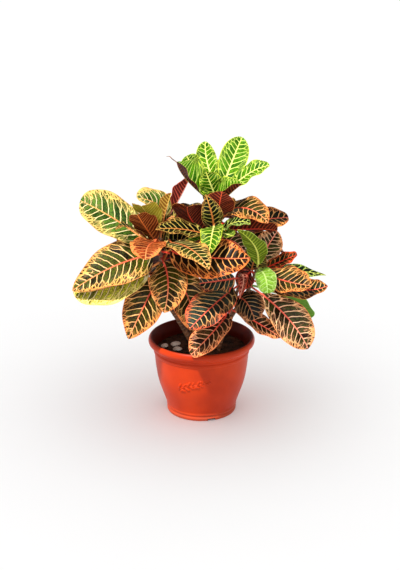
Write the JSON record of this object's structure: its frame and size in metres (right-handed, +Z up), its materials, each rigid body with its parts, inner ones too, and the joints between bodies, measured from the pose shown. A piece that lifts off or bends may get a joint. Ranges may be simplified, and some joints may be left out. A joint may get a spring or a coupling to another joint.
{
  "type": "potted croton",
  "caption": "Bushy croton house plant with broad veined leaves in yellow, orange, red and green, in a tapered round plastic pot with a rolled rim.",
  "frame": {"origin": "on the surface that the pot stands on, at the pot's axis, under the middle of the plant", "axes": "+Z up, +Y away from the picture's camera, +X to its right"},
  "size_m": [0.4754, 0.3939, 0.5279],
  "materials": {
    "pot": "satin",
    "soil": "matte",
    "pebble": "matte",
    "bark": "matte",
    "leaf": "satin",
    "young_leaf": "satin"
  },
  "bodies": {
    "root": {"pot": "pot", "soil": "soil", "pebble_upper": "pebble", "pebble_lower": "pebble", "pebble_left": "pebble", "stem_leader": "bark", "stem_front": "bark", "stem_left": "bark", "stem_right": "bark", "stem_low": "bark", "stem_back_left": "bark", "stem_back_right": "bark", "crown": "young_leaf", "front_tip": "young_leaf", "leaves_leader": "leaf", "leaves_front": "leaf", "leaves_left": "leaf", "leaves_right": "leaf", "leaves_low": "leaf", "leaves_back_left": "leaf", "leaves_back_right": "leaf"}
  },
  "joints": []
}
